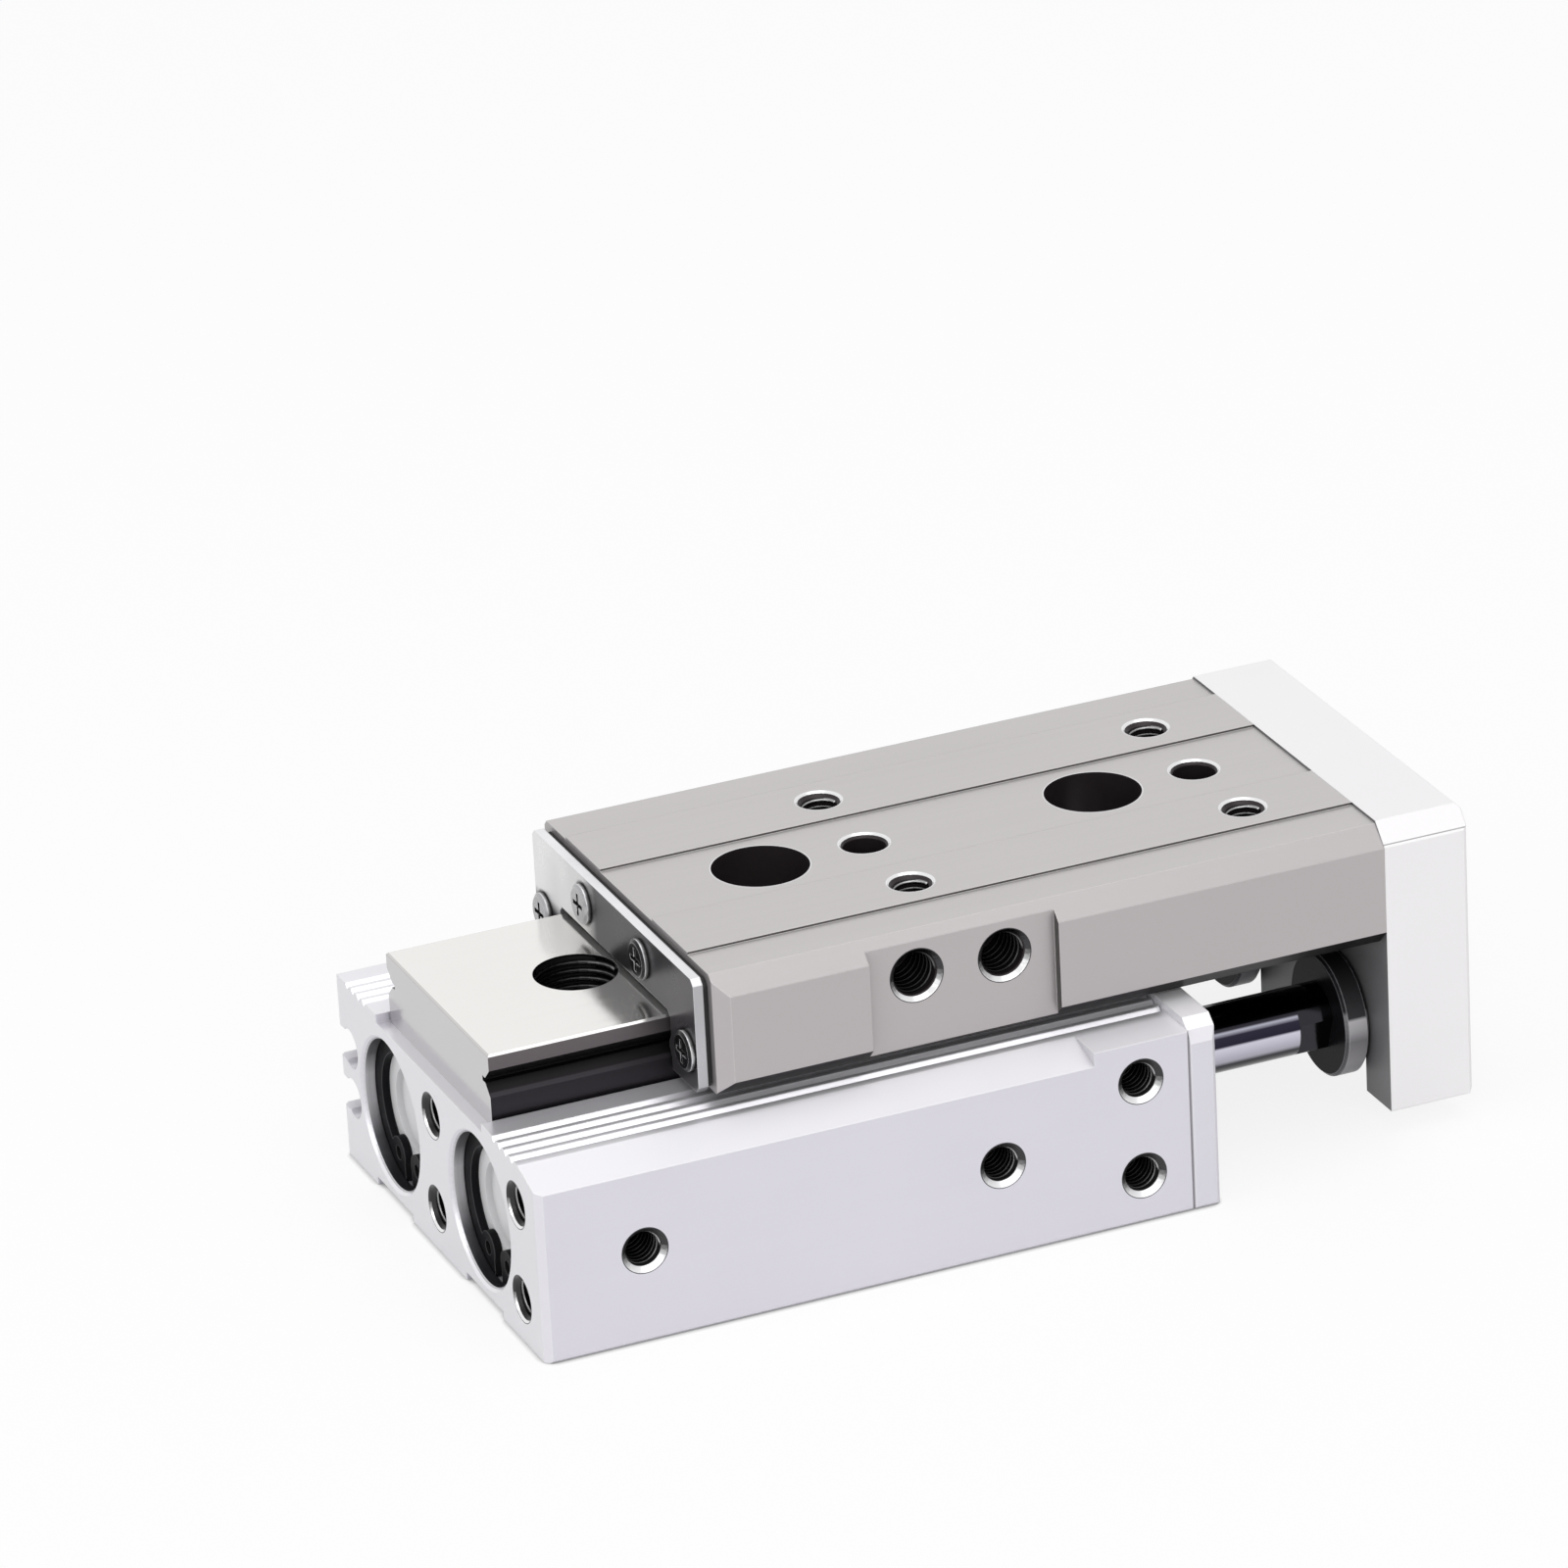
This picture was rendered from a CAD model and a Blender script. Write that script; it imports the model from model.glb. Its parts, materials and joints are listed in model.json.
import bmesh
import bpy
import json
import math
from mathutils import Matrix, Vector


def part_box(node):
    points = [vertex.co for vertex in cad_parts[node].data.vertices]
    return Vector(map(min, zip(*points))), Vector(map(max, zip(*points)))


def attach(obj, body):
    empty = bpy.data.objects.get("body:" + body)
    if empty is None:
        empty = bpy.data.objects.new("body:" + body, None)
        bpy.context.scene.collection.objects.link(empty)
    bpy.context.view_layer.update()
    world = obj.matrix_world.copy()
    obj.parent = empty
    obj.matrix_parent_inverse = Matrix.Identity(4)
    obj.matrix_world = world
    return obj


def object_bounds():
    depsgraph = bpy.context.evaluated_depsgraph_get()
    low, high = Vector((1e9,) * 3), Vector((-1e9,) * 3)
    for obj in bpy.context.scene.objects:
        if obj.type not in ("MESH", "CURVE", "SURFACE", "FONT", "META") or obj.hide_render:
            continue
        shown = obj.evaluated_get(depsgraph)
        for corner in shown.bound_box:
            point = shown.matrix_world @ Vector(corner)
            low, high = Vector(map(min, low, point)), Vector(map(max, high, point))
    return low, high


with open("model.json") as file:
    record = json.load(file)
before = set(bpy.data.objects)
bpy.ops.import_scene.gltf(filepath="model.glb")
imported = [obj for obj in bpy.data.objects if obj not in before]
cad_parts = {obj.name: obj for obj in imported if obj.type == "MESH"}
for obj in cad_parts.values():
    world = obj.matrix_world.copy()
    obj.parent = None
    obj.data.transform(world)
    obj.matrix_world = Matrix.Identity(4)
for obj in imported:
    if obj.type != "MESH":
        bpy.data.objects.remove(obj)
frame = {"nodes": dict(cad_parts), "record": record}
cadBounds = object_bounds()
nodes = frame["nodes"]
mm = 0.001
print("frame loaded:", len(nodes), "nodes")


def middle(nodeName):
    low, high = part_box(nodeName)
    return (low + high) / 2


def addNode(tree, kind, **values):  # a shader node with its properties set
    node = tree.nodes.new(kind)
    for name, value in values.items():
        setattr(node, name, value)
    return node


def link(tree, source, target):  # a number, colour or vector is set on the socket, an output is linked to it
    if isinstance(source, (int, float)):
        target.default_value = source
    elif isinstance(source, (tuple, list)):
        target.default_value = (*source, 1) if target.type == "RGBA" else source
    else:
        tree.links.new(source, target)


def mathNode(tree, operation, *values, clamp=False):
    node = addNode(tree, "ShaderNodeMath", operation=operation, use_clamp=clamp)
    for value, socket in zip(values, node.inputs):
        link(tree, value, socket)
    return node.outputs[0]


def multiply(tree, first, second):
    return mathNode(tree, "MULTIPLY", first, second)


def vectorMath(tree, operation, *values):
    node = addNode(tree, "ShaderNodeVectorMath", operation=operation)
    for value, socket in zip(values, node.inputs):
        link(tree, value, socket)
    return node.outputs


def splitVector(tree, vector):  # its parts along the stroke, across it, and up
    node = addNode(tree, "ShaderNodeSeparateXYZ")
    link(tree, vector, node.inputs[0])
    return node.outputs


def joinVector(tree, *parts):
    node = addNode(tree, "ShaderNodeCombineXYZ")
    for part, socket in zip(parts, node.inputs):
        link(tree, part, socket)
    return node.outputs[0]


def objectPlace(tree):  # where a point lies, in metres
    return addNode(tree, "ShaderNodeTexCoord").outputs["Object"]


def faceDirection(tree, kind):
    return splitVector(tree, addNode(tree, "ShaderNodeNewGeometry").outputs[kind])


def mixColor(tree, factor, first, second):
    node = addNode(tree, "ShaderNodeMix", data_type="RGBA")
    for value, place in ((factor, 0), (first, 6), (second, 7)):  # a colour mix uses these sockets of the node
        link(tree, value, node.inputs[place])
    return node.outputs[2]


def layTone(tree, base, mask, share, tone):  # a tone over the base, as strong as the mask times the share
    return mixColor(tree, multiply(tree, mask, share), base, tone)


def mapRange(tree, value, low, high, toLow=0.0, toHigh=1.0):
    node = addNode(tree, "ShaderNodeMapRange", clamp=True)
    for part, socket in zip((value, low, high, toLow, toHigh), node.inputs):
        link(tree, part, socket)
    return node.outputs[0]


def colourBands(tree, value, stops):  # a ramp of colours over a value from 0 to 1
    node = addNode(tree, "ShaderNodeValToRGB")
    ramp = node.color_ramp
    while len(ramp.elements) < len(stops):
        ramp.elements.new(1.0)
    for element, (place, tone) in zip(ramp.elements, stops):
        element.position = place
        element.color = (*tone, 1)
    link(tree, value, node.inputs[0])
    return node.outputs[0]


def addNoise(tree, vector, scale, detail):
    node = addNode(tree, "ShaderNodeTexNoise")
    for name, value in (("Vector", vector), ("Scale", scale), ("Detail", detail)):
        link(tree, value, node.inputs[name])
    return node.outputs["Fac"]


def spreadNoise(tree, noise):  # noise stays near its middle, so that part is spread over 0 to 1
    return mapRange(tree, noise, 0.3, 0.7)


floatKind, vectorKind = "NodeSocketFloat", "NodeSocketVector"


def newGroup(name, inputs, outputs):
    tree = bpy.data.node_groups.new(name, "ShaderNodeTree")
    for label, kind, value in inputs:
        socket = tree.interface.new_socket(name=label, in_out="INPUT", socket_type=kind)
        socket.default_value = value
    for label, kind in outputs:
        tree.interface.new_socket(name=label, in_out="OUTPUT", socket_type=kind)
    return tree, addNode(tree, "NodeGroupInput").outputs, addNode(tree, "NodeGroupOutput").inputs


def makeEdgeGroup():  # rounded edges for shading, and a mask that is 1 along them
    tree, given, result = newGroup("softEdges", [("Radius", floatKind, 0.2 * mm)],
                                   [("Normal", vectorKind), ("Edge", floatKind)])
    bevel = addNode(tree, "ShaderNodeBevel", samples=6)
    link(tree, given["Radius"], bevel.inputs["Radius"])
    flat = addNode(tree, "ShaderNodeNewGeometry").outputs["True Normal"]
    alike = vectorMath(tree, "DOT_PRODUCT", bevel.outputs[0], flat)["Value"]
    link(tree, bevel.outputs[0], result["Normal"])
    link(tree, mapRange(tree, alike, 0.995, 0.88), result["Edge"])
    return tree


def makeLineGroup():  # fine lines along the stroke, as extruding or grinding leaves
    tree, given, result = newGroup("strokeLines", [("Lines Per Metre", floatKind, 6000.0), ("Length", floatKind, 30.0)],
                                   [("Height", floatKind), ("Tone", floatKind)])
    x, y, z = splitVector(tree, objectPlace(tree))
    count = given["Lines Per Metre"]
    drawn = joinVector(tree, multiply(tree, x, given["Length"]), multiply(tree, y, count), multiply(tree, z, count))
    fine = addNoise(tree, drawn, scale=1.0, detail=3)
    wide = addNoise(tree, drawn, scale=0.07, detail=2)
    both = mathNode(tree, "ADD", multiply(tree, fine, 0.5), multiply(tree, wide, 0.5))
    link(tree, fine, result["Height"])
    link(tree, spreadNoise(tree, both), result["Tone"])
    return tree


def makeGrainGroup():  # even fine grain, with a slow cloudy change over it
    tree, given, result = newGroup(
        "fineGrain", [("Grain Size", floatKind, 0.2 * mm), ("Cloud Size", floatKind, 20 * mm)],
        [("Height", floatKind), ("Cloud", floatKind)])
    place = objectPlace(tree)
    grain = addNoise(tree, place, mathNode(tree, "DIVIDE", 1.0, given["Grain Size"]), detail=2)
    cloud = addNoise(tree, place, mathNode(tree, "DIVIDE", 1.0, given["Cloud Size"]), detail=3)
    link(tree, grain, result["Height"])
    link(tree, spreadNoise(tree, cloud), result["Cloud"])
    return tree


facingLook = {"steep": 0.75,  # a face counts as looking one way when its normal's part that way passes this
              "slopes": {"Down": (-0.3, -0.65), "Open": (0.15, 0.5), "Lit": (0.0, 0.5)}}


def makeFacingGroup():  # which way a face looks; Open and Lit take in the faces that slope upwards too
    names = ("Up", "Side", "End", "Rear", *facingLook["slopes"])
    tree, given, result = newGroup("facing", [("Softness", floatKind, 0.1)], [(name, floatKind) for name in names])
    along, across, up = faceDirection(tree, "True Normal")
    for name, (low, high) in facingLook["slopes"].items():
        link(tree, mapRange(tree, up, low, high), result[name])
    start = mathNode(tree, "SUBTRACT", facingLook["steep"], given["Softness"])
    ways = {"Up": up, "Side": mathNode(tree, "ABSOLUTE", across), "End": mathNode(tree, "ABSOLUTE", along),
            "Rear": multiply(tree, along, -1.0)}
    for name, value in ways.items():
        rise = mathNode(tree, "SUBTRACT", value, start)
        link(tree, mathNode(tree, "DIVIDE", rise, given["Softness"], clamp=True), result[name])
    return tree


def makeTurningGroup():  # rings around the two bores, as a lathe leaves
    tree, given, result = newGroup("turnedRings", [("Axis Y", floatKind, 14 * mm), ("Axis Z", floatKind, 11.3 * mm),
                                                   ("Rings Per Metre", floatKind, 5000.0)],
                                   [("Height", floatKind), ("Tone", floatKind), ("Radius", floatKind)])
    x, y, z = splitVector(tree, objectPlace(tree))
    y = mathNode(tree, "SUBTRACT", mathNode(tree, "ABSOLUTE", y), given["Axis Y"])
    z = mathNode(tree, "SUBTRACT", z, given["Axis Z"])
    radius = mathNode(tree, "SQRT", mathNode(tree, "ADD", multiply(tree, y, y), multiply(tree, z, z)))
    count = given["Rings Per Metre"]
    drawn = joinVector(tree, multiply(tree, radius, count), multiply(tree, x, count))
    rings = addNoise(tree, drawn, scale=1.0, detail=2)
    link(tree, rings, result["Height"])
    link(tree, spreadNoise(tree, rings), result["Tone"])
    link(tree, radius, result["Radius"])
    return tree


def makeCavityGroup(name, ownShape):  # 1 in corners and holes, 0 in the open; ownShape looks at the piece alone
    tree, given, result = newGroup(name, [("Reach", floatKind, 4 * mm)], [("Cavity", floatKind), ("Line", floatKind)])
    near = addNode(tree, "ShaderNodeAmbientOcclusion", samples=8, only_local=ownShape)
    link(tree, given["Reach"], near.inputs["Distance"])
    for label, low, high in (("Cavity", 0.95, 0.25), ("Line", 0.55, 0.1)):
        link(tree, mapRange(tree, near.outputs["AO"], low, high), result[label])
    return tree


def makeHoleGroup():  # masks for the countersinks and the walls of a row or square of equal holes
    tree, given, result = newGroup(
        "holePattern", [("Middle", vectorKind, (0, 0, 0)), ("Half Spacing", vectorKind, (0, 0, 0)),
                        ("Plane", vectorKind, (1, 1, 0)), ("Mouth", floatKind, 2.75 * mm),
                        ("Core", floatKind, 2.1 * mm), ("Reach", floatKind, 10 * mm)],
        [("Rim", floatKind), ("Wall", floatKind)])
    offset = vectorMath(tree, "SUBTRACT", objectPlace(tree), given["Middle"])[0]
    folded = vectorMath(tree, "SUBTRACT", vectorMath(tree, "ABSOLUTE", offset)[0], given["Half Spacing"])[0]
    across = vectorMath(tree, "MULTIPLY", folded, given["Plane"])[0]
    radius = vectorMath(tree, "LENGTH", across)["Value"]
    along = vectorMath(tree, "LENGTH", vectorMath(tree, "SUBTRACT", folded, across)[0])["Value"]
    here = mathNode(tree, "LESS_THAN", along, given["Reach"])
    inMouth = mathNode(tree, "LESS_THAN", radius, given["Mouth"])
    inCore = mathNode(tree, "LESS_THAN", radius, given["Core"])
    link(tree, multiply(tree, here, mathNode(tree, "SUBTRACT", inMouth, inCore)), result["Rim"])
    link(tree, multiply(tree, here, inCore), result["Wall"])
    return tree


def makeBandGroup():  # a soft band of height, of width, or of length along the stroke
    tree, given, result = newGroup(
        "bands", [("Low", floatKind, 0.0), ("High", floatKind, 1.0), ("Blur", floatKind, 0.2 * mm)],
        [("Along", floatKind), ("Across", floatKind), ("Height", floatKind)])
    for name, value in zip(("Along", "Across", "Height"), splitVector(tree, objectPlace(tree))):
        rise = mathNode(tree, "SUBTRACT", value, given["Low"])
        fall = mathNode(tree, "SUBTRACT", given["High"], value)
        rise, fall = (mathNode(tree, "DIVIDE", part, given["Blur"], clamp=True) for part in (rise, fall))
        link(tree, multiply(tree, rise, fall), result[name])
    return tree


edgeGroup = makeEdgeGroup()
lineGroup = makeLineGroup()
grainGroup = makeGrainGroup()
facingGroup = makeFacingGroup()
turningGroup = makeTurningGroup()
cavityGroup = makeCavityGroup("cavity", True)
depthGroup = makeCavityGroup("depth", False)
holeGroup = makeHoleGroup()
bandGroup = makeBandGroup()
print("shader groups built")


def useGroup(tree, group, **values):  # grainSize sets the input called Grain Size
    node = addNode(tree, "ShaderNodeGroup", node_tree=group)
    for name, value in values.items():
        label = "".join(" " + letter if letter.isupper() else letter for letter in name)
        node.inputs[label[0].upper() + label[1:]].default_value = value
    return node.outputs


def startMaterial(name, metallic, specular=0.5):
    material = bpy.data.materials.new(name)
    material.use_nodes = True
    tree = material.node_tree
    shader = tree.nodes["Principled BSDF"]
    shader.inputs["Metallic"].default_value = metallic
    shader.inputs["Specular IOR Level"].default_value = specular
    return material, tree, shader


def addBump(tree, shader, height, distance, strength, normal=None):
    bump = addNode(tree, "ShaderNodeBump")
    link(tree, strength, bump.inputs["Strength"])
    link(tree, distance, bump.inputs["Distance"])
    link(tree, height, bump.inputs["Height"])
    if normal is not None:
        link(tree, normal, bump.inputs["Normal"])
    link(tree, bump.outputs[0], shader.inputs["Normal"])


def roughAround(tree, mask, rough, spread):  # the roughness goes from a little less to a little more with the mask
    return mapRange(tree, mask, 0, 1, rough - spread, rough + spread)


def bandMask(tree, axis, limits, blur):  # limits and blur in millimetres
    low, high = limits
    return useGroup(tree, bandGroup, low=low * mm, high=high * mm, blur=blur * mm)[axis]


def addStrips(tree, base, strips, facing, tone):  # dark seams between plates, and low steps
    for strip in strips:
        mask = multiply(tree, bandMask(tree, strip["axis"], strip["limits"], blur=0.03), facing[strip["faces"]])
        base = layTone(tree, base, mask, strip["share"], tone)
    return base


unlitRimTone = (0.05, 0.05, 0.052)


def addHoles(tree, base, look):  # countersinks, bright where they slope upwards, and the dark walls of round holes
    rims = walls = 0.0
    for hole in look["holes"]:
        masks = useGroup(tree, holeGroup, **hole)
        rims = mathNode(tree, "MAXIMUM", rims, masks["Rim"])
        walls = mathNode(tree, "MAXIMUM", walls, masks["Wall"])
    lit = useGroup(tree, facingGroup)["Lit"]
    base = mixColor(tree, rims, base, mixColor(tree, lit, unlitRimTone, look["rimTone"]))
    return mixColor(tree, walls, base, look["wallTone"]), rims


anodisedFixed = {"shoulder": (-27.8, 27.8), "shoulderBlur": 1.2, "shoulderGloss": 0.12, "rimGloss": 0.12,
                 "rimMetal": 0.6, "lineBump": 0.5}


def makeAnodised(name, look):  # satin anodised aluminium with faint extrusion lines
    material, tree, shader = startMaterial(name, look["metallic"])
    edges = useGroup(tree, edgeGroup, radius=look["edgeRadius"])
    lines = useGroup(tree, lineGroup, linesPerMetre=look["lines"], length=look["lineLength"])
    grain = useGroup(tree, grainGroup, grainSize=look["grainSize"], cloudSize=look["cloudSize"])
    facing = useGroup(tree, facingGroup)
    cavity = useGroup(tree, cavityGroup, reach=look["cavityReach"])
    base = mixColor(tree, grain["Cloud"], look["tone"], look["tone2"])
    base = layTone(tree, base, lines["Tone"], look["lineShare"], look["lineTone"])
    base = layTone(tree, base, facing["Rear"], look["rearShare"], look["rearTone"])
    base = layTone(tree, base, facing["Open"], look["openShare"], look["openTone"])
    base = layTone(tree, base, edges["Edge"], look["edgeShare"], look["edgeTone"])
    base = layTone(tree, base, cavity["Cavity"], look["cavityShare"], look["cavityTone"])
    if "rearShade" in look:  # the rear face goes dark close to the pieces in front of it
        shade = look["rearShade"]
        close = useGroup(tree, depthGroup, reach=shade["reach"])["Cavity"]
        base = layTone(tree, base, multiply(tree, close, facing["Rear"]), shade["share"], shade["tone"])
    base = addStrips(tree, base, look["seams"], facing, look["seamTone"])
    if "bore" in look:  # bored walls, darker towards the top and the bottom
        bore = look["bore"]
        turned = useGroup(tree, turningGroup, ringsPerMetre=bore["rings"])
        inside = multiply(tree, mathNode(tree, "LESS_THAN", turned["Radius"], bore["radius"]),
                          mathNode(tree, "SUBTRACT", 1.0, facing["End"]))
        wall = colourBands(tree, mapRange(tree, faceDirection(tree, "Normal")[2], -1, 1), bore["tones"])
        base = mixColor(tree, inside, base, layTone(tree, wall, turned["Tone"], bore["ringShare"], look["seamTone"]))
    base, rims = addHoles(tree, base, look)
    link(tree, base, shader.inputs["Base Color"])
    under = bandMask(tree, "Across", anodisedFixed["shoulder"], anodisedFixed["shoulderBlur"])  # as wide as the table
    shoulder = multiply(tree, under, facing["Open"])
    rough = roughAround(tree, grain["Cloud"], look["rough"], spread=0.03)
    rough = mathNode(tree, "SUBTRACT", rough, multiply(tree, shoulder, anodisedFixed["shoulderGloss"]))
    rough = mathNode(tree, "SUBTRACT", rough, multiply(tree, rims, anodisedFixed["rimGloss"]))
    link(tree, rough, shader.inputs["Roughness"])
    metal = mathNode(tree, "ADD", look["metallic"], multiply(tree, rims, anodisedFixed["rimMetal"]))
    metal = mathNode(tree, "ADD", metal, multiply(tree, shoulder, look["openMetal"]), clamp=True)
    link(tree, metal, shader.inputs["Metallic"])
    height = mathNode(tree, "ADD", multiply(tree, lines["Height"], anodisedFixed["lineBump"]), grain["Height"])
    addBump(tree, shader, height, look["bump"], strength=0.25, normal=edges["Normal"])
    return material


groundFixed = {"grainSize": 0.12 * mm, "cloudSize": 35 * mm, "cloudShare": 0.12, "cavityReach": 5 * mm,
               "wayBlur": 0.1, "wayRough": 0.3, "rimGloss": 0.15}


def makeGround(name, look):  # ground steel with lines along the stroke
    material, tree, shader = startMaterial(name, look["metallic"], look["specular"])
    edges = useGroup(tree, edgeGroup, radius=look["edgeRadius"])
    lines = useGroup(tree, lineGroup, linesPerMetre=look["lines"], length=look["lineLength"])
    grain = useGroup(tree, grainGroup, grainSize=groundFixed["grainSize"], cloudSize=groundFixed["cloudSize"])
    facing = useGroup(tree, facingGroup, softness=0.04)
    cavity = useGroup(tree, cavityGroup, reach=groundFixed["cavityReach"])
    base = mixColor(tree, facing["Up"], look["sideTone"], look["topTone"])
    slant = mathNode(tree, "SUBTRACT", facing["Open"], facing["Up"], clamp=True)
    base = mixColor(tree, slant, base, look["slantTone"])
    base = mixColor(tree, facing["End"], base, look["endTone"])
    base = layTone(tree, base, lines["Tone"], look["lineShare"], look["lineTone"])
    base = layTone(tree, base, grain["Cloud"], groundFixed["cloudShare"], look["lineTone"])
    base = layTone(tree, base, edges["Edge"], look["edgeShare"], look["edgeTone"])
    ways = 0.0
    for band in look["ways"]:  # the ground ways on the sides, which overlap a little so that no gap stays light
        strip = bandMask(tree, "Height", band["limits"], groundFixed["wayBlur"])
        strip = multiply(tree, strip, mathNode(tree, "SUBTRACT", 1.0, facing["End"], clamp=True))
        base = mixColor(tree, strip, base, band["tone"])
        ways = mathNode(tree, "MAXIMUM", ways, strip)
    base = addStrips(tree, base, look["steps"], facing, look["cavityTone"])
    base = layTone(tree, base, cavity["Cavity"], look["cavityShare"], look["cavityTone"])
    base, rims = addHoles(tree, base, look)
    base = mixColor(tree, facing["Down"], base, look["underTone"])
    link(tree, base, shader.inputs["Base Color"])
    metal = mathNode(tree, "ADD", look["metallic"], facing["Down"], clamp=True)
    link(tree, metal, shader.inputs["Metallic"])
    rough = roughAround(tree, lines["Tone"], look["rough"], spread=0.04)
    rough = mathNode(tree, "ADD", rough, multiply(tree, ways, groundFixed["wayRough"]))
    rough = mathNode(tree, "SUBTRACT", rough, multiply(tree, rims, groundFixed["rimGloss"]))
    link(tree, rough, shader.inputs["Roughness"])
    addBump(tree, shader, lines["Height"], look["bump"], strength=0.3, normal=edges["Normal"])
    return material


stampedFixed = {"edgeRadius": 0.15 * mm, "grainSize": 0.12 * mm, "cloudSize": 8 * mm, "cloudShare": 0.15,
                "cavityReach": 1 * mm, "contactReach": 0.7 * mm, "lineShare": 0.95, "lineTone": (0.01, 0.01, 0.01),
                "halfWidth": 25 * mm, "bump": 0.01 * mm}


def makeWiperSteel(name, look):  # polished stamped steel, dark on one half of its rear face and light on the other
    material, tree, shader = startMaterial(name, look["metallic"], look["specular"])
    edges = useGroup(tree, edgeGroup, radius=stampedFixed["edgeRadius"])
    grain = useGroup(tree, grainGroup, grainSize=stampedFixed["grainSize"], cloudSize=stampedFixed["cloudSize"])
    facing = useGroup(tree, facingGroup)
    cavity = useGroup(tree, cavityGroup, reach=stampedFixed["cavityReach"])
    contact = useGroup(tree, depthGroup, reach=stampedFixed["contactReach"])
    across, up = splitVector(tree, objectPlace(tree))[1:]
    half = stampedFixed["halfWidth"]
    face = colourBands(tree, mapRange(tree, across, -half, half), look["across"])
    low = mapRange(tree, up, look["darkBelow"] + 1 * mm, look["darkBelow"] - 0.5 * mm)
    darkTone = look["across"][0][1]
    face = mixColor(tree, low, face, darkTone)
    base = mixColor(tree, facing["Up"], look["sideTone"], look["rimTone"])
    base = mixColor(tree, facing["Rear"], base, face)
    base = layTone(tree, base, grain["Cloud"], stampedFixed["cloudShare"], look["cloudTone"])
    base = layTone(tree, base, edges["Edge"], look["edgeShare"], look["rimTone"])
    touching = mapRange(tree, contact["Cavity"], 0.1, 0.35)
    dark = mathNode(tree, "MAXIMUM", cavity["Line"], touching)
    base = layTone(tree, base, dark, stampedFixed["lineShare"], stampedFixed["lineTone"])
    link(tree, base, shader.inputs["Base Color"])
    link(tree, roughAround(tree, grain["Cloud"], look["rough"], spread=0.04), shader.inputs["Roughness"])
    addBump(tree, shader, grain["Height"], stampedFixed["bump"], strength=0.2, normal=edges["Normal"])
    return material


turnedFixed = {"grainSize": 0.15 * mm, "cloudSize": 6 * mm, "cloudShare": 0.25, "cavityReach": 3 * mm,
               "cavityShare": 0.6, "cavityTone": (0.02, 0.02, 0.02), "specular": 0.5, "zoneBlur": 0.1}


def makeTurned(name, look):  # lathe-turned metal, plated, oxidised or bare
    material, tree, shader = startMaterial(name, look["metallic"], look.get("specular", turnedFixed["specular"]))
    edges = useGroup(tree, edgeGroup, radius=look["edgeRadius"])
    rings = useGroup(tree, turningGroup, ringsPerMetre=look["rings"])
    grain = useGroup(tree, grainGroup, grainSize=turnedFixed["grainSize"], cloudSize=turnedFixed["cloudSize"])
    cavity = useGroup(tree, cavityGroup, reach=turnedFixed["cavityReach"])
    base = layTone(tree, look["tone"], rings["Tone"], look["ringShare"], look["ringTone"])
    base = layTone(tree, base, grain["Cloud"], turnedFixed["cloudShare"], look["tone2"])
    if "round" in look:  # tones around a rod or a disc, from its underside to its top
        around = colourBands(tree, mapRange(tree, faceDirection(tree, "Normal")[2], -1, 1), look["round"])
        base = mixColor(tree, useGroup(tree, facingGroup)["End"], around, base)
    base = layTone(tree, base, edges["Edge"], look["edgeShare"], look["edgeTone"])
    for zone in look.get("zones", []):  # a darker length
        base = mixColor(tree, bandMask(tree, "Along", zone["limits"], turnedFixed["zoneBlur"]), base, zone["tone"])
    cavityShare = look.get("cavityShare", turnedFixed["cavityShare"])
    base = layTone(tree, base, cavity["Cavity"], cavityShare, turnedFixed["cavityTone"])
    link(tree, base, shader.inputs["Base Color"])
    link(tree, roughAround(tree, rings["Tone"], look["rough"], spread=0.04), shader.inputs["Roughness"])
    addBump(tree, shader, rings["Height"], look["bump"], strength=0.3, normal=edges["Normal"])
    return material


mouldedFixed = {"specular": 0.4, "edgeRadius": 0.1 * mm, "cloudSize": 5 * mm, "edgeShare": 0.3, "bump": 0.03 * mm}


def makeMoulded(name, look):  # rubber, plastic and bonded magnet
    material, tree, shader = startMaterial(name, 0.0, mouldedFixed["specular"])
    edges = useGroup(tree, edgeGroup, radius=mouldedFixed["edgeRadius"])
    grain = useGroup(tree, grainGroup, grainSize=look["grainSize"], cloudSize=mouldedFixed["cloudSize"])
    base = mixColor(tree, grain["Cloud"], look["tone"], look["tone2"])
    base = layTone(tree, base, edges["Edge"], mouldedFixed["edgeShare"], look["edgeTone"])
    link(tree, base, shader.inputs["Base Color"])
    link(tree, roughAround(tree, grain["Cloud"], look["rough"], spread=0.06), shader.inputs["Roughness"])
    addBump(tree, shader, grain["Height"], mouldedFixed["bump"], strength=0.3, normal=edges["Normal"])
    return material


cutFixed = {"grainSize": 0.08 * mm, "cloudSize": 2 * mm, "bump": 0.01 * mm}


def makeThreadMetal(name, look):  # freshly cut thread that goes dark down the hole, and off its rear flanks
    material, tree, shader = startMaterial(name, look["metallic"])
    depth = useGroup(tree, depthGroup, reach=look["reach"])
    grain = useGroup(tree, grainGroup, grainSize=cutFixed["grainSize"], cloudSize=cutFixed["cloudSize"])
    rear = useGroup(tree, facingGroup, softness=0.5)["Rear"]
    base = mixColor(tree, grain["Cloud"], look["tone"], look["tone2"])
    base = mixColor(tree, rear, mixColor(tree, look["sideShare"], look["deepTone"], base), base)
    base = mixColor(tree, depth["Cavity"], base, look["deepTone"])
    link(tree, base, shader.inputs["Base Color"])
    link(tree, roughAround(tree, grain["Cloud"], look["rough"], spread=0.05), shader.inputs["Roughness"])
    addBump(tree, shader, grain["Height"], cutFixed["bump"], strength=0.2)
    return material


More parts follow.
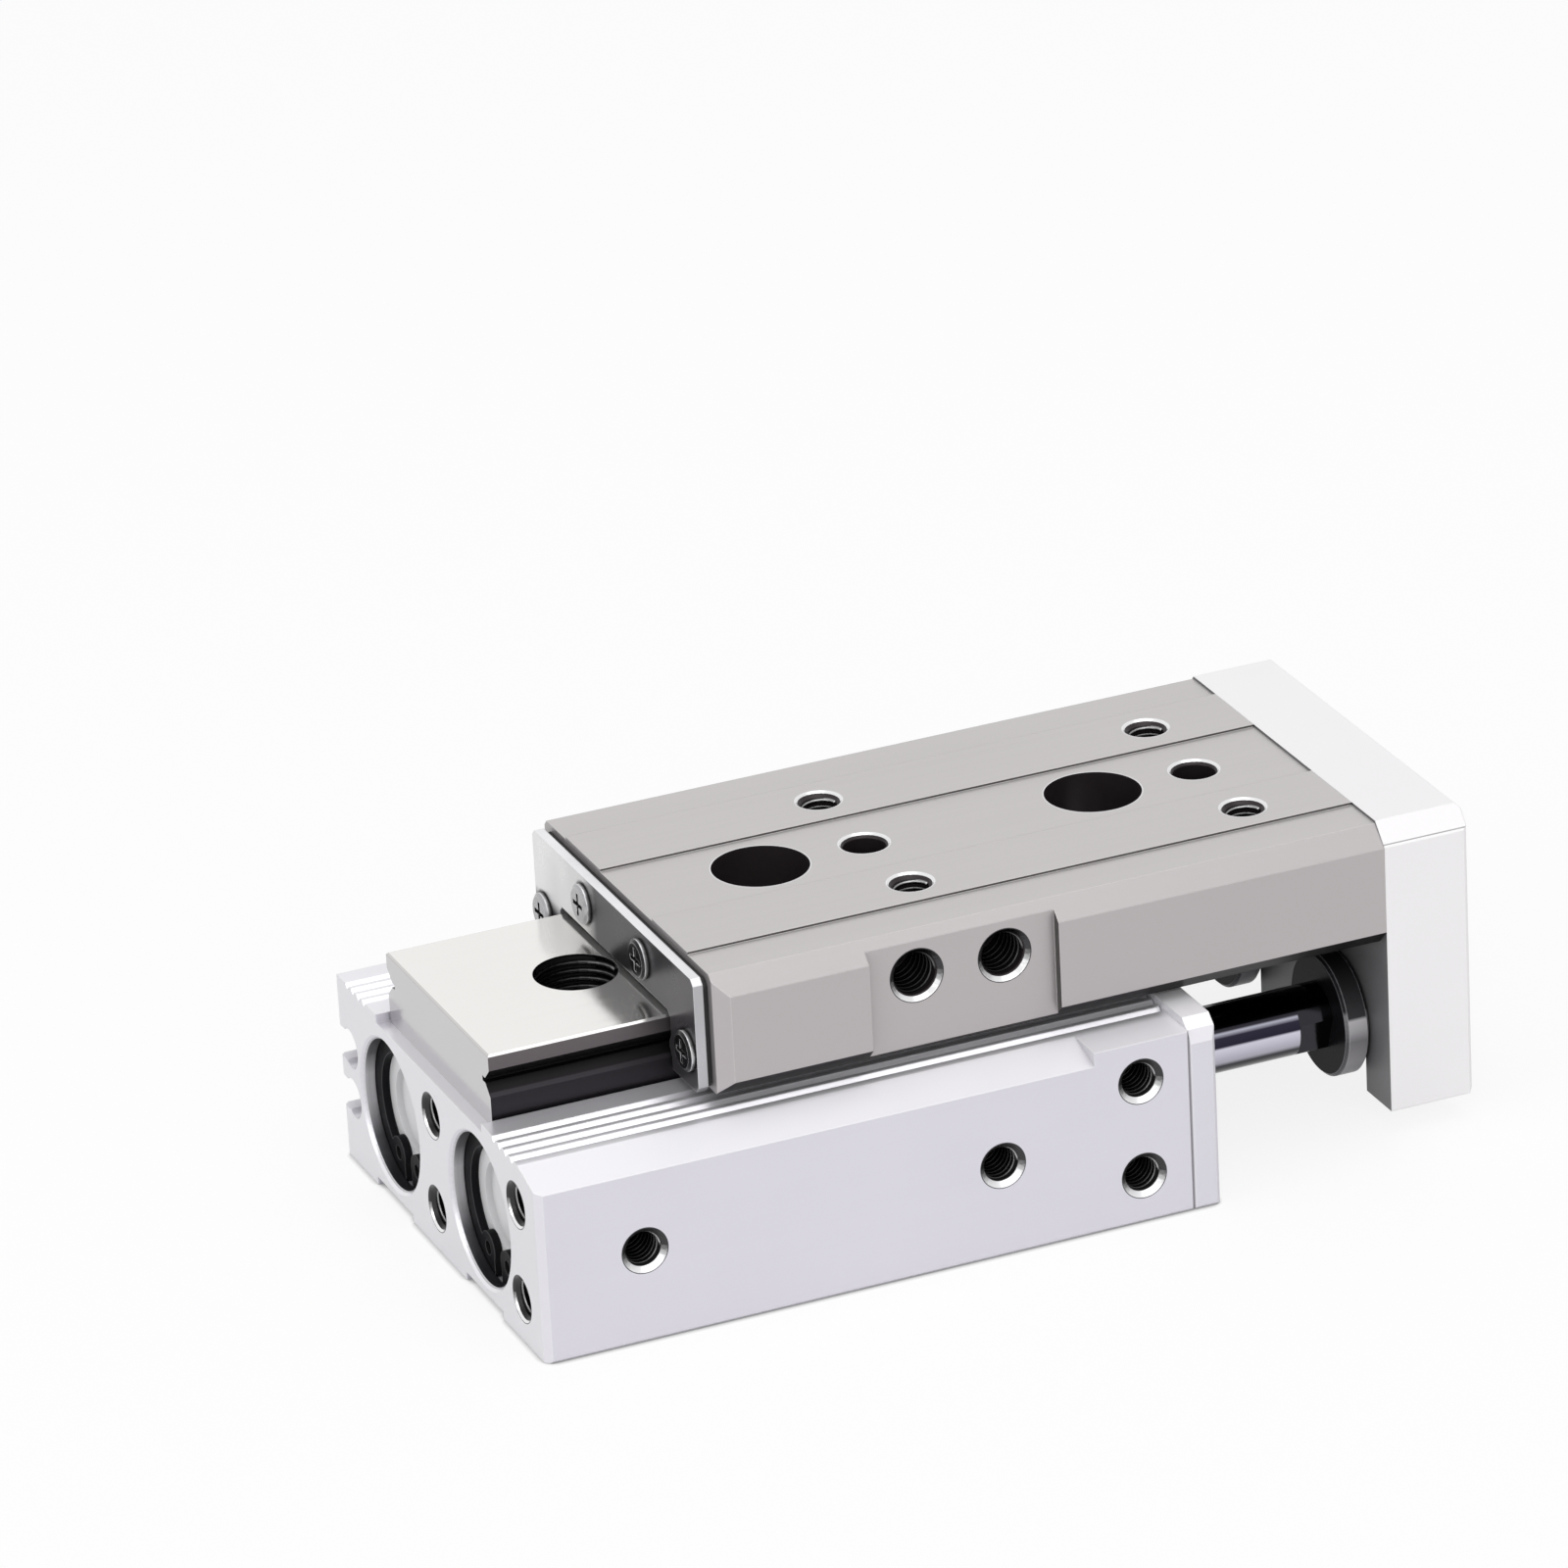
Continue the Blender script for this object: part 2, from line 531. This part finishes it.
def holeRow(middlePoint, half, plane, mouth, core, reach):  # millimetres, under the names that holePattern has
    return {"middle": [value * mm for value in middlePoint], "halfSpacing": [value * mm for value in half],
            "plane": plane, "mouth": mouth * mm, "core": core * mm, "reach": reach * mm}


def darkStrip(axis, limits, faces, share):
    return {"axis": axis, "limits": limits, "faces": faces, "share": share}


throughSide, throughEnd, throughTop = (1, 0, 1), (0, 1, 1), (1, 1, 0)
bodyHoles = [holeRow((34.6, -32.5, 11.3), (22, 0, 0), throughSide, 2.85, 2.14, 11),
             holeRow((74.1, -32.5, 11.8), (0, 0, 5.95), throughSide, 2.85, 2.14, 9),
             holeRow((0, -13, 11.3), (0, 13, 5.9), throughEnd, 2.85, 2.5, 9)]
tableHoles = [holeRow((76.1, 0, 39.3), (21, 13.1, 0), throughTop, 2.85, 2.5, 8),
              holeRow((76.1, 0, 39), (21, 0, 0), throughTop, 3.1, 2.75, 8),
              holeRow((63.1, 0, 39), (21, 0, 0), throughTop, 5.85, 5.72, 8),
              holeRow((55.65, -25.2, 33.61), (5.45, 0, 0), throughSide, 3.35, 2.75, 9)]
plateHoles = [holeRow((119.3, 0, 27.5), (0, 13, 5), throughEnd, 2.85, 2.14, 10)]
railHoleRows = [holeRow((39.7, 0, 31), (21, 0, 0), throughTop, 5.0, 4.93, 9)]
rimTone, wallTone = (0.82, 0.82, 0.83), (0.012, 0.012, 0.013)

bodyLook = {
    "tone": (0.66, 0.64, 0.705), "tone2": (0.69, 0.67, 0.735), "metallic": 0.15, "rough": 0.42,
    "lines": 5000.0, "lineLength": 20.0, "lineShare": 0.12, "lineTone": (0.6, 0.585, 0.64),
    "grainSize": 0.14 * mm, "cloudSize": 30 * mm, "bump": 0.03 * mm,
    "rearShare": 0.9, "rearTone": (0.76, 0.755, 0.78),
    "openShare": 0.9, "openTone": (0.85, 0.84, 0.87), "openMetal": 0.5,
    "edgeRadius": 0.22 * mm, "edgeShare": 0.6, "edgeTone": (0.95, 0.95, 0.96),
    "cavityReach": 6 * mm, "cavityShare": 0.55, "cavityTone": (0.3, 0.29, 0.33),
    "seams": [darkStrip("Along", (80.08, 80.6), "Side", 0.85)], "seamTone": (0.03, 0.03, 0.033),
    "bore": {"radius": 9.2 * mm, "rings": 5000.0, "ringShare": 0.3,
             "tones": [(0.0, (0.03, 0.03, 0.035)), (0.25, (0.2, 0.2, 0.21)), (0.42, (0.7, 0.69, 0.72)),
                       (0.62, (0.6, 0.59, 0.62)), (0.82, (0.12, 0.12, 0.13)), (1.0, (0.04, 0.04, 0.045))]},
    "holes": bodyHoles, "rimTone": rimTone, "wallTone": wallTone}
coverLook = dict(bodyLook, tone=(0.68, 0.67, 0.72), openTone=(0.94, 0.93, 0.95), openMetal=0.0, holes=[],
                 seams=[darkStrip("Along", (80.0, 80.45), "Side", 0.85)])
del coverLook["bore"]
plateLook = {
    "tone": (0.84, 0.825, 0.84), "tone2": (0.87, 0.86, 0.87), "metallic": 0.1, "rough": 0.45,
    "lines": 4000.0, "lineLength": 20.0, "lineShare": 0.08, "lineTone": (0.78, 0.77, 0.785),
    "grainSize": 0.12 * mm, "cloudSize": 30 * mm, "bump": 0.02 * mm,
    "rearShare": 1.0, "rearTone": (0.26, 0.256, 0.264),
    "rearShade": {"reach": 18 * mm, "share": 0.9, "tone": (0.02, 0.02, 0.022)},
    "openShare": 0.5, "openTone": (0.9, 0.89, 0.9), "openMetal": 0.0,
    "edgeRadius": 0.2 * mm, "edgeShare": 0.5, "edgeTone": (0.97, 0.97, 0.97),
    "cavityReach": 6 * mm, "cavityShare": 0.5, "cavityTone": (0.35, 0.34, 0.36),
    "seams": [darkStrip("Height", (36.92, 37.06), "Side", 0.85)], "seamTone": (0.25, 0.25, 0.25),
    "holes": plateHoles, "rimTone": rimTone, "wallTone": wallTone}
tableLook = {
    "topTone": (0.55, 0.53, 0.525), "slantTone": (0.4, 0.378, 0.38), "sideTone": (0.46, 0.43, 0.435),
    "endTone": (0.4, 0.38, 0.38), "underTone": (0.015, 0.014, 0.014), "specular": 0.3, "metallic": 0.5, "rough": 0.36,
    "lines": 9000.0, "lineLength": 25.0, "lineShare": 0.2, "lineTone": (0.47, 0.45, 0.45), "bump": 0.02 * mm,
    "edgeRadius": 0.2 * mm, "edgeShare": 0.45, "edgeTone": (0.8, 0.77, 0.77),
    "cavityShare": 0.25, "cavityTone": (0.05, 0.045, 0.045), "ways": [],
    "steps": [darkStrip("Height", (39.02, 39.29), "Side", 0.9), darkStrip("Along", (67.0, 67.7), "Rear", 0.9)],
    "holes": tableHoles, "rimTone": rimTone, "wallTone": (0.03, 0.024, 0.026)}
railLook = {
    "topTone": (0.86, 0.85, 0.83), "slantTone": (0.6, 0.59, 0.58), "sideTone": (0.085, 0.078, 0.078),
    "endTone": (0.52, 0.51, 0.52), "underTone": (0.05, 0.05, 0.05), "specular": 0.5, "metallic": 0.95, "rough": 0.13,
    "lines": 12000.0, "lineLength": 15.0, "lineShare": 0.1, "lineTone": (0.7, 0.69, 0.67), "bump": 0.01 * mm,
    "edgeRadius": 0.12 * mm, "edgeShare": 0.3, "edgeTone": (0.9, 0.9, 0.9),
    "cavityShare": 0.4, "cavityTone": (0.03, 0.03, 0.03), "steps": [],
    "ways": [{"limits": (28.8, 30.8), "tone": (0.15, 0.135, 0.14)},
             {"limits": (25.9, 28.9), "tone": (0.012, 0.011, 0.012)},
             {"limits": (22.0, 26.2), "tone": (0.034, 0.031, 0.036)}],
    "holes": railHoleRows, "rimTone": (0.8, 0.79, 0.78), "wallTone": (0.05, 0.048, 0.048)}
rollerLook = dict(railLook, sideTone=(0.6, 0.6, 0.6), endTone=(0.6, 0.6, 0.6), underTone=(0.4, 0.4, 0.4),
                  ways=[], holes=[])
wiperLook = {
    "across": [(0.0, (0.08, 0.076, 0.082)), (0.4, (0.05, 0.048, 0.052)), (0.6, (0.036, 0.034, 0.038)),
               (0.67, (0.62, 0.62, 0.62)), (1.0, (0.86, 0.86, 0.86))], "darkBelow": 30.5 * mm,
    "rimTone": (0.85, 0.85, 0.87), "sideTone": (0.5, 0.5, 0.52), "cloudTone": (0.1, 0.1, 0.11),
    "edgeShare": 0.7, "metallic": 0.6, "rough": 0.3, "specular": 0.2}
screwLook = dict(wiperLook, darkBelow=20 * mm, sideTone=(0.6, 0.6, 0.61), cloudTone=(0.05, 0.05, 0.05), edgeShare=1.0,
                 across=[(0.0, (0.015, 0.015, 0.016)), (0.55, (0.02, 0.02, 0.022)), (0.65, (0.4, 0.4, 0.41)),
                         (1.0, (0.45, 0.45, 0.46))])
blackLook = {
    "tone": (0.006, 0.006, 0.007), "tone2": (0.012, 0.012, 0.013), "ringTone": (0.014, 0.014, 0.016),
    "metallic": 0.0, "specular": 0.03, "rough": 0.35, "rings": 4000.0, "ringShare": 0.5, "bump": 0.01 * mm,
    "edgeRadius": 0.2 * mm, "edgeShare": 0.4, "edgeTone": (0.25, 0.25, 0.26)}
capScrewLook = dict(blackLook, specular=0.3, edgeShare=0.7, edgeTone=(0.3, 0.3, 0.31))
bushLook = dict(blackLook, rough=0.3, edgeShare=0.8, edgeTone=(0.6, 0.6, 0.64),
                round=[(0.0, (0.05, 0.05, 0.05)), (0.1, (0.3, 0.295, 0.31)), (0.24, (0.36, 0.35, 0.37)),
                       (0.45, (0.2, 0.195, 0.205)), (0.54, (0.4, 0.39, 0.41)), (0.62, (0.52, 0.51, 0.53)),
                       (0.645, (0.045, 0.044, 0.047)), (1.0, (0.01, 0.01, 0.011))])
brightLook = {
    "tone": (0.8, 0.8, 0.81), "tone2": (0.84, 0.84, 0.85), "ringTone": (0.7, 0.7, 0.72),
    "metallic": 0.2, "rough": 0.4, "rings": 5000.0, "ringShare": 0.4, "bump": 0.01 * mm, "cavityShare": 0.3,
    "edgeRadius": 0.1 * mm, "edgeShare": 0.4, "edgeTone": (0.95, 0.95, 0.95)}
rodLook = {
    "tone": (0.5, 0.49, 0.54), "tone2": (0.56, 0.55, 0.6), "ringTone": (0.45, 0.44, 0.5),
    "metallic": 1.0, "rough": 0.12, "rings": 6000.0, "ringShare": 0.2, "bump": 0.003 * mm,
    "edgeRadius": 0.1 * mm, "edgeShare": 0.2, "edgeTone": (0.8, 0.8, 0.84),
    "round": [(0.0, (0.02, 0.02, 0.02)), (0.26, (0.03, 0.03, 0.035)), (0.33, (0.4, 0.39, 0.45)),
              (0.55, (0.6, 0.59, 0.68)), (0.585, (0.022, 0.02, 0.035)), (0.71, (0.03, 0.027, 0.045)),
              (0.765, (0.42, 0.42, 0.5)), (0.79, (0.035, 0.032, 0.042)), (0.9, (0.02, 0.02, 0.023)),
              (1.0, (0.04, 0.04, 0.043))],
    "zones": [{"limits": (101.2, 106.0), "tone": (0.035, 0.034, 0.04)}]}
platedLook = {
    "tone": (0.75, 0.75, 0.76), "tone2": (0.65, 0.65, 0.66), "ringTone": (0.6, 0.6, 0.6),
    "metallic": 0.95, "rough": 0.2, "rings": 3000.0, "ringShare": 0.2, "bump": 0.005 * mm,
    "edgeRadius": 0.12 * mm, "edgeShare": 0.6, "edgeTone": (0.95, 0.95, 0.95)}
bronzeLook = {
    "tone": (0.5, 0.33, 0.13), "tone2": (0.42, 0.28, 0.12), "ringTone": (0.6, 0.42, 0.2),
    "metallic": 0.9, "rough": 0.35, "rings": 4000.0, "ringShare": 0.3, "bump": 0.01 * mm,
    "edgeRadius": 0.1 * mm, "edgeShare": 0.3, "edgeTone": (0.7, 0.5, 0.25)}
rubberLook = {"tone": (0.012, 0.012, 0.012), "tone2": (0.022, 0.022, 0.023), "edgeTone": (0.06, 0.06, 0.06),
              "rough": 0.5, "grainSize": 0.2 * mm}
acetalLook = {"tone": (0.7, 0.64, 0.46), "tone2": (0.66, 0.6, 0.42), "edgeTone": (0.8, 0.75, 0.6),
              "rough": 0.45, "grainSize": 0.15 * mm}
ferriteLook = {"tone": (0.05, 0.047, 0.045), "tone2": (0.07, 0.065, 0.06), "edgeTone": (0.12, 0.12, 0.12),
               "rough": 0.6, "grainSize": 0.1 * mm}
threadLook = {"tone": (0.6, 0.6, 0.61), "tone2": (0.5, 0.5, 0.51), "deepTone": (0.01, 0.01, 0.011),
              "metallic": 0.8, "rough": 0.25, "reach": 8 * mm, "sideShare": 1.0}
bodyThreadLook = dict(threadLook, sideShare=0.15, reach=6.5 * mm)
darkThreadLook = dict(threadLook, tone=(0.2, 0.195, 0.195), tone2=(0.12, 0.12, 0.12), sideShare=0.0)

materials = {  # by the record's material slots
    "anodised_aluminium": makeAnodised("satinAnodised", bodyLook),
    "anodised_cover": makeAnodised("satinAnodisedCover", coverLook),
    "pale_aluminium": makeAnodised("paleAnodised", plateLook),
    "bright_aluminium": makeTurned("turnedAluminium", brightLook),
    "ground_steel": makeGround("groundSteel", tableLook),
    "rail_steel": makeGround("railSteel", railLook),
    "wiper_steel": makeWiperSteel("stampedSteel", wiperLook),
    "rod_steel": makeTurned("hardChrome", rodLook),
    "plated_steel": makeTurned("brightZinc", platedLook),
    "black_steel": makeTurned("blackOxide", blackLook),
    "rubber": makeMoulded("nitrileRubber", rubberLook),
    "bearing_bronze": makeTurned("bearingBronze", bronzeLook),
    "wear_plastic": makeMoulded("acetal", acetalLook),
    "magnet": makeMoulded("bondedFerrite", ferriteLook),
}
capScrewMetal = makeTurned("capScrewSteel", capScrewLook)
nodeMaterials = {  # by the ends of the nodes' names, where a piece differs from its slot
    "rollers": makeGround("rollerSteel", rollerLook), "wiper_screws": makeWiperSteel("screwSteel", screwLook),
    "inner_bush": makeTurned("bushSteel", bushLook), "outer_bush": capScrewMetal, "rod_screw": capScrewMetal,
    "end_plate_screws": capScrewMetal, "cover_screws": capScrewMetal, "rail_screws": capScrewMetal}
cutThread = makeThreadMetal("cutThread", threadLook)
bodyThread = makeThreadMetal("bodyThread", bodyThreadLook)
darkThread = makeThreadMetal("darkThread", darkThreadLook)

slotOf = {part["node"]: part["material_slot"] for part in frame["record"]["subparts"]}
for name, node in nodes.items():
    material = materials[slotOf[name]]
    for ending, special in nodeMaterials.items():
        if name.endswith(ending):
            material = special
    node.data.materials.clear()
    node.data.materials.append(material)
print("materials:", len(bpy.data.materials))


def finishPiece(mesh, name, body, material):
    data = bpy.data.meshes.new(name)
    mesh.to_mesh(data)
    mesh.free()
    piece = bpy.data.objects.new(name, data)
    bpy.context.scene.collection.objects.link(piece)
    data.materials.append(material)
    data.shade_smooth()
    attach(piece, body)


# the ridge in shares of its pitch: its height, and its corners down the hole from root to root
threadShape = {"height": 0.22, "corners": (0, -0.3, -0.45, -0.75), "stepsPerTurn": 28, "seat": 0.02 * mm}


def addThread(mesh, mouth, outwards, hole):  # one helical ridge that lines a hole, first made around Z
    pitch, start = hole["pitch"] * mm, hole["start"] * mm
    crest, root = hole["core"] * mm - threadShape["height"] * pitch, hole["core"] * mm + threadShape["seat"]
    turns = int((hole["depth"] * mm - start) / pitch) - 1
    steps = threadShape["stepsPerTurn"] * turns
    outline = zip((root, crest, crest, root), threadShape["corners"])
    end = mesh.faces.new([mesh.verts.new((radius, 0, -start + z * pitch)) for radius, z in outline])
    bmesh.ops.spin(mesh, geom=[end], cent=(0, 0, 0), axis=(0, 0, 1), dvec=(0, 0, -turns * pitch / steps),
                   angle=2 * math.pi * turns, steps=steps, use_merge=False)
    turn = Vector((0, 0, 1)).rotation_difference(Vector(outwards)).to_matrix().to_4x4()
    bmesh.ops.transform(mesh, matrix=Matrix.Translation(mouth) @ turn, verts=mesh.verts)


def makeThreads(name, mouths, outwards, hole, body, material):
    whole = bmesh.new()
    for mouth in mouths:
        one = bmesh.new()
        addThread(one, Vector(mouth), outwards, hole)
        bmesh.ops.recalc_face_normals(one, faces=one.faces)
        data = bpy.data.meshes.new("thread")
        one.to_mesh(data)
        one.free()
        whole.from_mesh(data)
        bpy.data.meshes.remove(data)
    finishPiece(whole, name, body, material)


bodyLow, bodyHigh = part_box("body")
tableLow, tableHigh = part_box("table")
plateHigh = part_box("end_plate")[1]
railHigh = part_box("rail")[1]
boreZ = middle("near_head_cap").z
outSide, outRear, outFront, outTop = (0, -1, 0), (-1, 0, 0), (1, 0, 0), (0, 0, 1)

# all in millimetres; x is from the piece's rear end unless it says otherwise
smallThread = {"core": 2.1, "pitch": 0.8, "start": 0.52}
ports = dict(smallThread, depth=8.0, x=(12.6, 56.6))
makeThreads("port_threads", [(x * mm, bodyLow.y, boreZ) for x in ports["x"]], outSide, ports,
            "housing", bodyThread)

pad = dict(smallThread, depth=8.0, fromFront=6.2, z=(5.85, 17.75))
makeThreads("pad_threads", [(bodyHigh.x - pad["fromFront"] * mm, bodyLow.y, z * mm) for z in pad["z"]], outSide, pad,
            "housing", bodyThread)

rear = dict(smallThread, depth=8.0, y=(0.0, -26.0), z=(5.4, 17.2))
makeThreads("rear_threads", [(0, y * mm, z * mm) for y in rear["y"] for z in rear["z"]], outRear, rear,
            "housing", cutThread)

top = dict(smallThread, depth=7.3, x=(29.7, 71.7), y=(-13.1, 13.1))
makeThreads("table_top_threads", [(tableLow.x + x * mm, y * mm, tableHigh.z) for x in top["x"] for y in top["y"]],
            outTop, top, "slide", cutThread)

side = {"core": 2.6, "pitch": 1.0, "start": 0.52, "depth": 8.0, "x": (24.8, 35.7), "drop": 5.69, "inset": 1.2}
sideY, sideZ = tableLow.y + side["inset"] * mm, tableHigh.z - side["drop"] * mm
makeThreads("table_side_threads", [(tableLow.x + x * mm, sideY, sideZ) for x in side["x"]], outSide, side,
            "slide", darkThread)

front = dict(smallThread, depth=8.7, y=(-13.0, 13.0), z=(22.5, 32.5))
makeThreads("end_plate_threads", [(plateHigh.x, y * mm, z * mm) for y in front["y"] for z in front["z"]], outFront,
            front, "slide", cutThread)

railHole = {"core": 4.9, "pitch": 1.0, "start": 0.5, "depth": 8.9, "x": (18.7, 60.7)}  # x from the housing's rear
makeThreads("rail_threads", [(x * mm, 0, railHigh.z) for x in railHole["x"]], outTop, railHole,
            "housing", darkThread)
print("thread linings built")


floorLook = {"size": 4.0, "drop": 0.02 * mm, "white": 0.9, "rough": 0.9, "shadowShare": 0.15,
             "contact": 1.5 * mm, "contactTone": (0.25, 0.25, 0.25)}
white = (1, 1, 1)


def seenDirectly(tree, *kinds):  # 1 for the kinds of ray that meet the white background itself
    rays = addNode(tree, "ShaderNodeLightPath").outputs
    seen = rays["Is Camera Ray"]
    for kind in kinds:
        seen = mathNode(tree, "MAXIMUM", seen, rays[kind])
    return seen


def mixShaders(tree, factor, first, second, output):
    mix = addNode(tree, "ShaderNodeMixShader")
    for source, socket in zip((factor, first, second), mix.inputs):
        link(tree, source, socket)
    link(tree, mix.outputs[0], tree.nodes[output].inputs["Surface"])


def makeFloor():
    mesh = bmesh.new()
    bmesh.ops.create_grid(mesh, x_segments=1, y_segments=1, size=floorLook["size"] / 2)
    bmesh.ops.translate(mesh, verts=mesh.verts, vec=(0, 0, cadBounds[0][2] - floorLook["drop"]))
    data = bpy.data.meshes.new("floor")
    mesh.to_mesh(data)
    mesh.free()
    floor = bpy.data.objects.new("floor", data)
    bpy.context.scene.collection.objects.link(floor)
    material = bpy.data.materials.new("whitePaper")
    material.use_nodes = True
    tree = material.node_tree
    shader = tree.nodes["Principled BSDF"]
    shader.inputs["Roughness"].default_value = floorLook["rough"]
    shader.inputs["Base Color"].default_value = (floorLook["white"],) * 3 + (1,)
    contact = addNode(tree, "ShaderNodeAmbientOcclusion", samples=16)  # a thin dark line under the housing
    contact.inputs["Distance"].default_value = floorLook["contact"]
    touch = mapRange(tree, contact.outputs["AO"], 0.75, 0.35)
    glow = addNode(tree, "ShaderNodeEmission")
    link(tree, mixColor(tree, touch, white, floorLook["contactTone"]), glow.inputs["Color"])
    seen = multiply(tree, seenDirectly(tree, "Is Glossy Ray"), 1 - floorLook["shadowShare"])
    mixShaders(tree, seen, shader.outputs[0], glow.outputs[0], "Material Output")
    data.materials.append(material)


def makeWorld(strength):  # soft light of this strength, and a white background
    world = bpy.data.worlds.new("studio")
    bpy.context.scene.world = world
    world.use_nodes = True
    tree = world.node_tree
    lit = tree.nodes["Background"]
    plain = addNode(tree, "ShaderNodeBackground")
    for background, power in ((lit, strength), (plain, 1.0)):
        link(tree, white, background.inputs["Color"])
        link(tree, power, background.inputs["Strength"])
    seen = seenDirectly(tree, "Is Glossy Ray", "Is Transmission Ray")
    mixShaders(tree, seen, lit.outputs[0], plain.outputs[0], "World Output")


def addLamp(name, place, size, power):
    data = bpy.data.lights.new(name, "AREA")
    data.shape = "RECTANGLE"
    data.size, data.size_y = size
    data.energy = power
    lamp = bpy.data.objects.new(name, data)
    bpy.context.scene.collection.objects.link(lamp)
    lamp.location = place
    lamp.rotation_euler = (middle("body") - Vector(place)).to_track_quat("-Z", "Y").to_euler()


worldStrength = 0.55
lampLook = {"overhead": {"place": (0.1, -0.25, 1.3), "size": (1.2, 1.2), "power": 6.4},
            "front": {"place": (-0.2, -1.35, 0.75), "size": (1.1, 0.8), "power": 4.6},
            "rear": {"place": (-1.2, -0.4, 0.6), "size": (0.9, 0.8), "power": 4.0}}
makeFloor()
makeWorld(worldStrength)
for name, lamp in lampLook.items():
    addLamp(name, **lamp)

cameraLook = {"aim": (0.05081, 0.01291, 0.04237), "distance": 1.11306, "azimuth": -22.113, "elevation": 23.808,
              "roll": -3.0996, "lens": 220.72, "sensor": 36}


def makeCamera():
    azimuth, elevation, roll = (math.radians(cameraLook[key]) for key in ("azimuth", "elevation", "roll"))
    back = Vector((math.sin(azimuth) * math.cos(elevation), -math.cos(azimuth) * math.cos(elevation),
                   math.sin(elevation)))
    right = Vector((math.cos(azimuth), math.sin(azimuth), 0))
    level = Matrix((right, back.cross(right), back)).transposed()
    data = bpy.data.cameras.new("camera")
    data.lens = cameraLook["lens"]
    data.sensor_width = cameraLook["sensor"]
    camera = bpy.data.objects.new("camera", data)
    bpy.context.scene.collection.objects.link(camera)
    camera.rotation_euler = (level @ Matrix.Rotation(roll, 3, "Z")).to_euler()
    camera.location = Vector(cameraLook["aim"]) + back * cameraLook["distance"]
    bpy.context.scene.camera = camera


makeCamera()
bpy.context.scene.view_settings.view_transform = "Standard"
print("stage, lamps and camera set")
